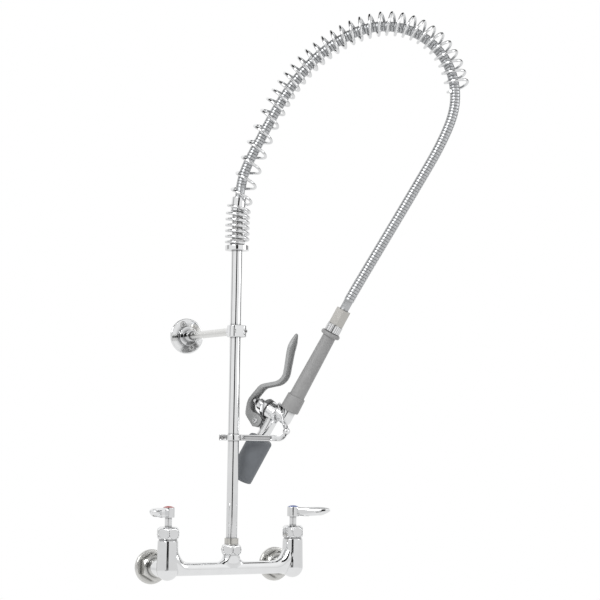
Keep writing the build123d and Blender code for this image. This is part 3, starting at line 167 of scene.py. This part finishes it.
def moulded_finish(name, tone, roughness, grain=1500.0, skin=0.000008, drift=0.04,
                   spread=0.04, drift_scale=70.0):
    """Moulded rubber or plastic, pressed fibre or enamel, with a fine skin."""
    material = bpy.data.materials.new(name)
    material.use_nodes = True
    tree = material.node_tree
    shader = tree.nodes["Principled BSDF"]
    slow = grain_noise(tree, drift_scale)
    paler = [min(part * (1 + drift), 1.0) for part in tone]
    deeper = [part * (1 - drift) for part in tone]
    tree.links.new(between_tones(tree, slow, deeper, paler), shader.inputs["Base Color"])
    shine = between_values(tree, slow, roughness - spread, roughness + spread)
    tree.links.new(shine, shader.inputs["Roughness"])
    relief = tree.nodes.new("ShaderNodeBump")
    relief.inputs["Distance"].default_value = skin
    tree.links.new(grain_noise(tree, grain, detail=3.0), relief.inputs["Height"])
    tree.links.new(relief.outputs["Normal"], shader.inputs["Normal"])
    return material


fibre_red = (0.42, 0.12, 0.09)
red_fibre = moulded_finish("red_fibre", fibre_red, roughness=0.8, grain=2500.0, skin=0.00003,
                           drift=0.15)
finish_nodes(red_fibre, "inlet_washers")

# Cartridges: each valve closes with two lapped ceramic discs in a turned brass sleeve that
# drops into the housing on a black rubber seal. All of this is hidden under the bonnet.
brass_tone = (0.68, 0.50, 0.24)
# The dark brass tone is painted shade for corners and joins
brass_painted_shade_tone = (0.12, 0.08, 0.04)
rubber_black = (0.022, 0.022, 0.022)
ceramic_white = (0.86, 0.85, 0.82)
machined_brass = metal_with_painted_shade("machined_brass", brass_tone, brass_painted_shade_tone, roughness=0.24,
                              spread=0.05)
finish_nodes(machined_brass, "hot_cartridge", "cold_cartridge")
seal_rubber = moulded_finish("seal_rubber", rubber_black, roughness=0.55)
finish_nodes(seal_rubber, "hot_seat_seal", "cold_seat_seal")
lapped_ceramic = moulded_finish("lapped_ceramic", ceramic_white, roughness=0.18, skin=0.000002)
finish_nodes(lapped_ceramic, "hot_fixed_disc", "hot_moving_disc")
finish_nodes(lapped_ceramic, "cold_fixed_disc", "cold_moving_disc")

# Bonnets and spindles: a bulging hexagonal bonnet screws down on the cartridge, and the bright
# spindle comes up through it. Both are turned brass with the body's chrome, and the buffing
# wheel has rounded the bonnet's edges.
bonnet_edge = 0.0006
edge_steps = 3
sharp_from = radians(28)
joining_reach = 0.00001


def buff_edges(width, *names):
    """Round the sharp edges of solids, as the buffing wheel does."""
    for name in names:
        joined = nodes[name].modifiers.new("joined", "WELD")
        joined.merge_threshold = joining_reach
        rounded = nodes[name].modifiers.new("rounded", "BEVEL")
        rounded.width = width
        rounded.segments = edge_steps
        rounded.limit_method = "ANGLE"
        rounded.angle_limit = sharp_from
        rounded.use_clamp_overlap = False
        nodes[name].modifiers.new("shaded", "WEIGHTED_NORMAL")


finish_nodes(chrome, "hot_bonnet", "cold_bonnet", "hot_spindle", "cold_spindle")
buff_edges(bonnet_edge, "hot_bonnet", "cold_bonnet")

# Lever handles: cast, buffed and plated, each held on its spindle by a steel screw that hides
# under a thin index cap, red for hot and blue for cold, pressed into the top of the hub.
handle_edge = 0.0002
finish_nodes(chrome, "hot_handle", "cold_handle")
buff_edges(handle_edge, "hot_handle", "cold_handle")
screw_tone = (0.55, 0.55, 0.55)
# The dark steel tone is painted shade for corners, slots and joins
screw_painted_shade_tone = (0.05, 0.05, 0.05)
cap_red = (0.42, 0.035, 0.035)
cap_blue = (0.035, 0.09, 0.36)
cap_roughness = 0.34
screw_steel = metal_with_painted_shade("screw_steel", screw_tone, screw_painted_shade_tone, roughness=0.25,
                           spread=0.05)
finish_nodes(screw_steel, "hot_handle_screw", "cold_handle_screw")
finish_nodes(moulded_finish("hot_cap_red", cap_red, cap_roughness), "hot_index_button")
finish_nodes(moulded_finish("cold_cap_blue", cap_blue, cap_roughness), "cold_index_button")

# Riser: polished brass tube on the centre boss, drawn down on its washer by a plated nut. The
# short sleeve over its foot is only tumbled and nickel plated, so it is softer in shine.
finish_nodes(chrome, "riser_nut", "riser_tube")
buff_edges(bonnet_edge, "riser_nut")
finish_nodes(seal_rubber, "riser_washer")
sleeve_tone = (0.66, 0.65, 0.615)
tumbled_nickel = metal_with_painted_shade("tumbled_nickel", sleeve_tone, nickel_painted_shade_tone, roughness=0.16,
                              spread=0.03, drift=0.03)
finish_nodes(tumbled_nickel, "riser_sleeve")

# Wall bracket: a turned flange with two cross-head screws, a satin rod that is cut to length
# on the wall, and a plated split clamp on the riser with a socket screw in its boss. Painted
# shade darkens their steps and slots more deeply than the body's corners.
clamp_edge = 0.0006
rod_tone = (0.76, 0.76, 0.745)
# The dark rod tone is painted shade for corners and joins
rod_painted_shade_tone = (0.06, 0.06, 0.06)
# Chrome with a deeper painted shade, reaching further into steps, slots and recesses
chrome_deep_painted_shade = metal_with_painted_shade("chrome_deep_painted_shade", chrome_tone, chrome_painted_shade_tone, roughness=0.06,
                           spread=0.02, ripple=buffing_ripple, reach=0.007, start=0.35, end=1.0)
finish_nodes(chrome_deep_painted_shade, "wall_flange", "bracket_clamp")
buff_edges(clamp_edge, "wall_flange", "bracket_clamp")
satin_rod = metal_with_painted_shade("satin_rod", rod_tone, rod_painted_shade_tone, roughness=0.22, spread=0.03)
finish_nodes(satin_rod, "bracket_rod")
finish_nodes(screw_steel, "wall_screws", "bracket_clamp_screw")

# Finger hook: a plated arm that clamps on the riser with two small screws. It catches the
# hold-down ring, so the valve hangs on it when it isn't in use.
hook_edge = 0.0007
finish_nodes(chrome_deep_painted_shade, "finger_hook")
buff_edges(hook_edge, "finger_hook")
finish_nodes(screw_steel, "hook_clamp_screws")

# Overhead spring: round spring wire wound close at its foot and open over the arch, then
# plated. Its foot sits in a chrome collar on top of the riser.
finish_nodes(chrome, "spring_collar")
wire_tone = (0.78, 0.785, 0.79)
# The dark wire tone is painted shade between close coils and at joins
wire_painted_shade_tone = (0.10, 0.10, 0.10)
plated_wire = metal_with_painted_shade("plated_wire", wire_tone, wire_painted_shade_tone, roughness=0.10, spread=0.03,
                           reach=0.002, ripple_scale=120.0)
finish_nodes(plated_wire, "overhead_spring")

# Hose: strip-wound stainless outer hose over a plastic liner. It screws on an adapter in the
# riser under a ferrule, bends over the arch inside the spring, and runs into the spray handle.
arch_turn = radians(-34.0)
riser_line = Vector((0.0, -0.060, 0.0))
arch_across = Vector((sin(arch_turn), -cos(arch_turn), 0.0))
handle_way = Vector((0.32707, -0.36198, 0.87292))
hose_end = Vector((0.13295, -0.14961, 0.38065))
hose_lead_in = 0.022
hose_diameter = 0.015
hose_root = 0.0067
hose_plain_end = 0.015
hose_rib_pitch = 0.0045
hose_around = 36
liner_radius = 0.0048
liner_around = 16
liner_steps = 300
strip_tone = (0.52, 0.53, 0.54)
# The dark strip tone is painted shade for the grooves between ribs
strip_painted_shade_tone = (0.02, 0.02, 0.02)
liner_white = (0.72, 0.72, 0.70)
# Bends of the hose: way out from the riser in the plane of the arch, and height
hose_bends = [
    (0.0022, 0.5469),
    (0.0043, 0.5668),
    (0.0100, 0.5890),
    (0.0205, 0.6120),
    (0.0440, 0.6580),
    (0.0700, 0.7060),
    (0.1080, 0.7540),
    (0.1500, 0.7860),
    (0.1900, 0.8035),
    (0.2310, 0.8050),
    (0.2680, 0.7925),
    (0.2980, 0.7670),
    (0.3175, 0.7330),
    (0.3230, 0.6840),
    (0.3030, 0.6300),
    (0.2620, 0.5580),
    (0.2220, 0.4890),
    (0.1885, 0.4315),
]
# One rib: share of the pitch along the hose, and share of the rib's height
rib_profile = [
    (0.00, 0.00),
    (0.07, 0.00),
    (0.11, 0.85),
    (0.20, 0.97),
    (0.36, 1.00),
    (0.64, 1.00),
    (0.80, 0.97),
    (0.89, 0.85),
    (0.93, 0.00),
]


def in_arch(reach, height):
    """Point in the plane of the arch."""
    return riser_line + Vector((reach * cos(arch_turn), reach * sin(arch_turn), height))


def hose_curve(points):
    """Smooth curve of the hose, which starts and ends on its end points."""
    curve = bpy.data.curves.new("hose_route", "CURVE")
    curve.dimensions = "3D"
    curve.resolution_u = 24  # steps between two bends
    route = curve.splines.new("NURBS")
    route.points.add(len(points) - 1)
    for spot, point in zip(route.points, points):
        spot.co = (*point, 1.0)
    route.order_u = 3
    route.use_endpoint_u = True
    return curve


def points_along(curve):
    """Points of a curve's smooth line."""
    holder = bpy.data.objects.new("route_holder", curve)
    scene.collection.objects.link(holder)
    bpy.context.view_layer.update()
    mesh = bpy.data.meshes.new_from_object(holder)
    points = [vertex.co.copy() for vertex in mesh.vertices]
    bpy.data.objects.remove(holder)
    bpy.data.meshes.remove(mesh)
    return points


class HoseLine:
    """Place and direction at any distance along the hose."""

    def __init__(self, points):
        self.points = points
        self.reached = [0.0]
        for before, after in zip(points, points[1:]):
            self.reached.append(self.reached[-1] + (after - before).length)
        self.length = self.reached[-1]
        self.step = 0

    def at(self, distance):
        """Point at a distance from the riser's end of the hose."""
        distance = min(max(distance, 0.0), self.length)
        if self.reached[self.step] > distance:
            self.step = 0
        while self.step < len(self.points) - 2 and self.reached[self.step + 1] < distance:
            self.step += 1
        before, after = self.points[self.step], self.points[self.step + 1]
        share = (distance - self.reached[self.step]) / (after - before).length
        return before.lerp(after, share)

    def way(self, distance, reach=0.002):
        """Direction of the hose there, taken over a short reach to both sides."""
        return (self.at(distance + reach) - self.at(distance - reach)).normalized()

    def ring(self, distance, radius):
        """Centre, two square ways and radius of one ring round the hose."""
        way = self.way(distance)
        side = (arch_across - way * arch_across.dot(way)).normalized()
        return self.at(distance), side, way.cross(side), radius


def tube_of_rings(name, rings, around):
    """Smooth tube through rings."""
    shape = bmesh.new()
    loops = []
    turns = [2 * pi * step / around for step in range(around)]
    for centre, side, up, radius in rings:
        spots = [centre + (side * cos(turn) + up * sin(turn)) * radius for turn in turns]
        loops.append([shape.verts.new(spot) for spot in spots])
    for low, high in zip(loops, loops[1:]):
        for step in range(around):
            following = (step + 1) % around
            face = shape.faces.new((low[step], low[following], high[following], high[step]))
            face.smooth = True
    mesh = bpy.data.meshes.new(name)
    shape.normal_update()
    shape.to_mesh(mesh)
    shape.free()
    return mesh


def new_piece(name, mesh, body):
    """Object for a mesh, riding on a body."""
    piece = bpy.data.objects.new(name, mesh)
    scene.collection.objects.link(piece)
    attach(piece, body)
    return piece


hose_points = [in_arch(*bend) for bend in hose_bends]
hose_points += [hose_end + handle_way * hose_lead_in, hose_end]
hose_line = HoseLine(points_along(hose_curve(hose_points)))
ribbed_length = hose_line.length - 2 * hose_plain_end
rib_count = int(ribbed_length / hose_rib_pitch)
rib_pitch = ribbed_length / rib_count
hose_rings = [hose_line.ring(0.0, hose_root)]
for rib in range(rib_count):
    for share, rise in rib_profile:
        distance = hose_plain_end + (rib + share) * rib_pitch
        radius = hose_root + (hose_diameter / 2 - hose_root) * rise
        hose_rings.append(hose_line.ring(distance, radius))
hose_rings.append(hose_line.ring(hose_line.length, hose_root))
hose_mesh = tube_of_rings("hose_outer", hose_rings, hose_around)
hose = new_piece("hose_outer", hose_mesh, "root")
liner_rings = []
for step in range(liner_steps + 1):
    liner_rings.append(hose_line.ring(hose_line.length * step / liner_steps, liner_radius))
liner_mesh = tube_of_rings("hose_inner", liner_rings, liner_around)
liner = new_piece("hose_inner", liner_mesh, "root")
# Painted shade darkens the grooves between the ribs
strip_steel = metal_with_painted_shade("strip_wound_steel", strip_tone, strip_painted_shade_tone, roughness=0.42,
                           spread=0.05, reach=0.0016, drift=0.05, ripple_scale=200.0)
hose.data.materials.append(strip_steel)
liner.data.materials.append(moulded_finish("liner_plastic", liner_white, roughness=0.4))
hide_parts("hose")
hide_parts("hose_liner")
finish_nodes(screw_steel, "hose_adapter")
finish_nodes(chrome, "hose_ferrule")

# Spray handle: a chrome inner tube with a moulded grey grip and a separate lower sleeve pushed
# over it. The hose ends in a satin hexagon and a plated nut that seals on a rubber washer.
finish_nodes(chrome, "handle_tube", "hose_end_nut")
grip_tone = (0.315, 0.315, 0.315)
hex_tone = (0.51, 0.50, 0.475)
# The dark hexagon tone is painted shade for corners and joins
hex_painted_shade_tone = (0.04, 0.04, 0.04)
grip_grey = moulded_finish("grip_grey", grip_tone, roughness=0.40)
finish_nodes(grip_grey, "grip_sleeve", "lower_sleeve")
hex_nickel = metal_with_painted_shade("hex_nickel", hex_tone, hex_painted_shade_tone, roughness=0.20, spread=0.03,
                          drift=0.03)
finish_nodes(hex_nickel, "hose_end_hex")
finish_nodes(seal_rubber, "hose_washer")

# Spray valve: a plated brass body with a hexagonal bonnet over a black gasket. The spring and
# the water press the seat washer shut, and the stem comes out through a packing.
finish_nodes(chrome_deep_painted_shade, "valve_body", "valve_bonnet", "valve_stem")
finish_nodes(seal_rubber, "bonnet_gasket", "stem_packing", "seat_washer")
finish_nodes(machined_brass, "seat_ring")
finish_nodes(plated_wire, "stem_spring")

# Squeeze lever: a zinc casting in thick grey enamel that rounds its edges. It turns on a
# plated screw through both cheeks and the lug of the valve body.
enamel_tone = (0.36, 0.365, 0.365)
enamel_step = 0.0005
enamel_rounding = 9
enamel_softness = 0.5


def enamelled(node):
    """Mesh of a solid with its edges rounded by the enamel."""
    holder = bpy.data.objects.new("enamel_holder", nodes[node].data.copy())
    scene.collection.objects.link(holder)
    skin = holder.modifiers.new("skin", "REMESH")
    skin.mode = "VOXEL"
    skin.voxel_size = enamel_step
    skin.use_smooth_shade = True
    rounding = holder.modifiers.new("rounding", "SMOOTH")
    rounding.factor = enamel_softness
    rounding.iterations = enamel_rounding
    bpy.context.view_layer.update()
    rounded = holder.evaluated_get(bpy.context.evaluated_depsgraph_get())
    mesh = bpy.data.meshes.new_from_object(rounded)
    bpy.data.objects.remove(holder)
    mesh.materials.clear()
    return mesh


lever = new_piece("enamelled_lever", enamelled("squeeze_lever"), "lever")
grey_enamel = moulded_finish("grey_enamel", enamel_tone, roughness=0.30, grain=500.0, skin=0.00001)
lever.data.materials.append(grey_enamel)
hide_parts("squeeze_lever")
finish_nodes(chrome, "lever_pivot_screw")

# Hold-down ring: a bent and welded plated wire ring on the valve's neck, for the finger hook.
# It hangs loose between the valve body and the lower sleeve.
finish_nodes(chrome_deep_painted_shade, "hold_down_ring")

# Spray face and bumper: a stainless disc with rings of holes, held by one screw, in a soft
# rubber cup that keeps the chrome head off the sink.
bumper_grey = (0.150, 0.162, 0.178)
finish_nodes(screw_steel, "spray_face", "spray_face_screw")
finish_nodes(moulded_finish("bumper_rubber", bumper_grey, roughness=0.5), "bumper")

# Room: a pale floor well below the faucet, white all round and two soft lamps. A band of pale
# grey card and some dark ones, all out of sight, draw the lines in the plating.
room_shade = 0.60
floor_height = -0.7
floor_reach = 12.0
floor_tone = (0.86, 0.86, 0.86)
floor_roughness = 0.9
white = (1, 1, 1, 1)
lamp_aim = Vector((0.05, -0.08, 0.35))
lamps = [
    # name, place, size, watts
    ("key_lamp", (-2.8, -1.6, 2.2), 1.6, 62.0),
    ("fill_lamp", (2.4, -1.8, 1.0), 1.4, 12.0),
]
floor_card_height = -0.66
card_foot = -0.69
card_degrees = 5
world = bpy.data.worlds.new("white_room")
scene.world = world
world.use_nodes = True
sky = world.node_tree.nodes["Background"]
paths = world.node_tree.nodes.new("ShaderNodeLightPath")
seen = world.node_tree.nodes.new("ShaderNodeMath")
seen.operation = "MAXIMUM"
world.node_tree.links.new(paths.outputs["Is Camera Ray"], seen.inputs[0])
world.node_tree.links.new(paths.outputs["Is Glossy Ray"], seen.inputs[1])
strength = world.node_tree.nodes.new("ShaderNodeMapRange")
strength.inputs["To Min"].default_value = room_shade
strength.inputs["To Max"].default_value = 1.0
world.node_tree.links.new(seen.outputs["Value"], strength.inputs["Value"])
world.node_tree.links.new(strength.outputs["Result"], sky.inputs["Strength"])
sky.inputs["Color"].default_value = white

floor_mesh = bpy.data.meshes.new("floor")
floor_shape = bmesh.new()
bmesh.ops.create_grid(floor_shape, x_segments=1, y_segments=1, size=floor_reach)
floor_shape.to_mesh(floor_mesh)
floor_shape.free()
floor = bpy.data.objects.new("floor", floor_mesh)
floor.location = (0, 0, floor_height)
scene.collection.objects.link(floor)
pale = bpy.data.materials.new("pale_floor")
pale.use_nodes = True
tree = pale.node_tree
shader = tree.nodes["Principled BSDF"]
shader.inputs["Base Color"].default_value = (*floor_tone, 1)
shader.inputs["Roughness"].default_value = floor_roughness
glow = tree.nodes.new("ShaderNodeEmission")
glow.inputs["Color"].default_value = white
rays = tree.nodes.new("ShaderNodeLightPath")
blend = tree.nodes.new("ShaderNodeMixShader")
shown = tree.nodes.new("ShaderNodeMath")
shown.operation = "MAXIMUM"
tree.links.new(rays.outputs["Is Camera Ray"], shown.inputs[0])
tree.links.new(rays.outputs["Is Glossy Ray"], shown.inputs[1])
tree.links.new(shown.outputs["Value"], blend.inputs["Fac"])
tree.links.new(shader.outputs["BSDF"], blend.inputs[1])
tree.links.new(glow.outputs["Emission"], blend.inputs[2])
tree.links.new(blend.outputs["Shader"], tree.nodes["Material Output"].inputs["Surface"])
floor.data.materials.append(pale)

for name, place, size, watts in lamps:
    lamp_data = bpy.data.lights.new(name, "AREA")
    lamp_data.size = size
    lamp_data.energy = watts
    lamp = bpy.data.objects.new(name, lamp_data)
    lamp.location = place
    lamp.rotation_euler = (lamp_aim - Vector(place)).to_track_quat("-Z", "Y").to_euler()
    scene.collection.objects.link(lamp)

scene.view_settings.view_transform = "Standard"


def card(name, corners, faces, shades, fades):
    """Card that only the plating mirrors, of one shade below and another above the two fades."""
    low_tone, high_tone = [(shade, shade, shade) for shade in shades]
    paint = bpy.data.materials.new(name)
    paint.use_nodes = True
    tree = paint.node_tree
    place = tree.nodes.new("ShaderNodeTexCoord")
    parts = tree.nodes.new("ShaderNodeSeparateXYZ")
    tree.links.new(place.outputs["Object"], parts.inputs["Vector"])
    rise = between_values(tree, parts.outputs["Z"], 0.0, 1.0, *fades)
    glow = tree.nodes.new("ShaderNodeEmission")
    tree.links.new(between_tones(tree, rise, low_tone, high_tone, 0.0, 1.0), glow.inputs["Color"])
    tree.links.new(glow.outputs["Emission"], tree.nodes["Material Output"].inputs["Surface"])
    mesh = bpy.data.meshes.new(name)
    mesh.from_pydata(corners, [], faces)
    piece = bpy.data.objects.new(name, mesh)
    piece.visible_camera = False
    piece.visible_diffuse = False
    piece.visible_shadow = False
    piece.visible_transmission = False
    piece.data.materials.append(paint)
    scene.collection.objects.link(piece)


def level_card(name, half_width, near, far, height, shade):
    """Level card of one shade, from near to far along Y."""
    corners = [(-half_width, near, height), (half_width, near, height)]
    corners += [(half_width, far, height), (-half_width, far, height)]
    card(name, corners, [(0, 1, 2, 3)], shades=(shade, shade), fades=(height, height + 1.0))


def standing_card(name, headings, distance, heights, shades, fades):
    """Upright curved card between two headings round the riser, in degrees from X to Y."""
    first, last = headings
    steps = max(int(abs(last - first) / card_degrees), 1)
    corners = []
    for step in range(steps + 1):
        turn = radians(first + (last - first) * step / steps)
        for height in heights:
            corners.append((cos(turn) * distance, sin(turn) * distance + riser_line.y, height))
    faces = [(2 * step, 2 * step + 2, 2 * step + 3, 2 * step + 1) for step in range(steps)]
    card(name, corners, faces, shades, fades)


level_card("floor_card", half_width=4.0, near=-4.0, far=4.0, height=floor_card_height, shade=0.88)
level_card("ceiling_flag", half_width=2.0, near=-0.27, far=0.43, height=1.5, shade=0.02)
# name, headings, distance, heights, shades below and above, heights where the shade changes
for standing in (
    ("wall_card", (-180, 180), 3.8, (card_foot, 1.6), (0.76, 0.90), (-0.10, 0.35)),
    ("stand_flag", (-141, -124), 3.3, (card_foot, -0.12), (0.02, 0.70), (-0.15, -0.12)),
    ("camera_flag", (-127, -104), 3.4, (-0.14, 3.5), (0.70, 0.02), (-0.14, -0.08)),
    ("right_flag", (-22, 12), 3.2, (0.10, 3.5), (0.80, 0.26), (0.10, 0.35)),
    ("left_flag", (132, 160), 3.2, (0.10, 3.5), (0.80, 0.45), (0.10, 0.35)),
):
    standing_card(*standing)
